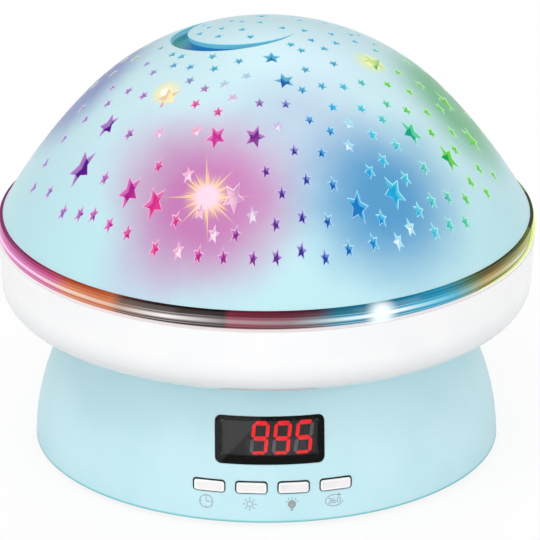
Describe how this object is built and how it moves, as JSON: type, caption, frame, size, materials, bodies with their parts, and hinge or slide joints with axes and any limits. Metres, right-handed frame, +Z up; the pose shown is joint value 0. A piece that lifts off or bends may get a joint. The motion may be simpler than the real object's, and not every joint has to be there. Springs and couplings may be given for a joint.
{
  "type": "star night light projector",
  "caption": "Round night light that throws stars from a turning, lift-off pierced dome over a white collar and light ring, with a timer display and a row of keys.",
  "frame": {"origin": "centre of the base on the table plane, under the rubber feet", "axes": "+Z up along the dome's turning axis, the display and keys face -Y, +X to the viewer's right"},
  "size_m": [0.1302, 0.1302, 0.105],
  "materials": {
    "blue_shell": "moulded ABS, fine satin",
    "dome_shell": "moulded ABS, fine satin",
    "inner_dome": "translucent tinted polycarbonate, lit from inside",
    "white_gloss": "polished ABS",
    "white_key": "polished ABS key",
    "clear_ring": "clear acrylic, lit from below",
    "smoke_window": "smoked acrylic",
    "black_body": "black moulded plastic",
    "lit_bar": "lit red diffuser",
    "dark_bar": "unlit diffuser",
    "circuit_board": "solder-masked fibreglass",
    "lamp_board": "white solder mask",
    "ring_lamp": "small surface lamp",
    "steel": "zinc-plated steel",
    "motor_can": "plated drawn steel can",
    "cell_wrap": "plain printed sleeve",
    "tray": "dark ABS",
    "nylon": "natural nylon",
    "rubber": "moulded rubber",
    "lamp_warm": "clear epoxy lens, warm white",
    "lamp_red": "tinted epoxy lens",
    "lamp_green": "tinted epoxy lens",
    "lamp_blue": "tinted epoxy lens"
  },
  "bodies": {
    "base": {"base_housing": "blue_shell", "base_plate": "blue_shell", "rubber_feet": "rubber", "plate_screws": "steel", "battery_tray": "tray", "battery_cells": "cell_wrap", "contact_plates": "steel", "contact_springs": "steel", "display_window": "smoke_window", "display_block": "black_body", "lit_bars": "lit_bar", "dark_bars": "dark_bar", "key_switches": "black_body", "main_board": "circuit_board", "inlet_board": "circuit_board", "power_inlet": "steel", "collar": "white_gloss", "collar_screws": "steel", "ring_board": "circuit_board", "ring_lamps": "ring_lamp", "light_ring": "clear_ring", "lamp_post": "white_gloss", "lamp_board": "lamp_board", "lamp_board_screws": "steel", "lamp_warm": "lamp_warm", "lamp_red": "lamp_red", "lamp_green": "lamp_green", "lamp_blue": "lamp_blue", "gear_motor": "motor_can", "motor_screws": "steel", "thrust_washer": "nylon"},
    "turntable": {"turntable": "white_gloss", "spur_gear": "nylon"},
    "drive_pinion": {"drive_pinion": "nylon", "motor_shaft": "steel"},
    "dome": {"dome_cover": "dome_shell", "inner_dome": "inner_dome"},
    "timer_key": {"key_timer": "white_key"},
    "brightness_key": {"key_brightness": "white_key"},
    "lamps_key": {"key_lamps": "white_key"},
    "rotation_key": {"key_rotation": "white_key"},
    "battery_door": {"battery_door": "blue_shell"}
  },
  "joints": [
    {"name": "turntable_spin", "type": "hinge", "parent": "base", "child": "turntable", "pos_m": [0, 0, 0.0415], "axis": [0, 0, 1], "continuous": true},
    {"name": "pinion_spin", "type": "hinge", "parent": "base", "child": "drive_pinion", "pos_m": [0, 0.0288, 0.0415], "axis": [0, 0, 1], "continuous": true},
    {"name": "dome_lift", "type": "slide", "parent": "turntable", "child": "dome", "axis": [0, 0, 1], "range_m": [0, 0.06]},
    {"name": "timer_press", "type": "slide", "parent": "base", "child": "timer_key", "axis": [0, 1, 0], "range_m": [0, 0.0006], "stiffness_N_per_m": 1500, "springref_m": -0.0003},
    {"name": "brightness_press", "type": "slide", "parent": "base", "child": "brightness_key", "axis": [0, 1, 0], "range_m": [0, 0.0006], "stiffness_N_per_m": 1500, "springref_m": -0.0003},
    {"name": "lamps_press", "type": "slide", "parent": "base", "child": "lamps_key", "axis": [0, 1, 0], "range_m": [0, 0.0006], "stiffness_N_per_m": 1500, "springref_m": -0.0003},
    {"name": "rotation_press", "type": "slide", "parent": "base", "child": "rotation_key", "axis": [0, 1, 0], "range_m": [0, 0.0006], "stiffness_N_per_m": 1500, "springref_m": -0.0003},
    {"name": "door_swing", "type": "hinge", "parent": "base", "child": "battery_door", "pos_m": [-0.02245, 0, 0.0024], "axis": [0, 1, 0], "range_deg": [0, 95]}
  ],
  "couplings": [
    {"joint": "pinion_spin", "follows": "turntable_spin", "ratio": -5}
  ]
}
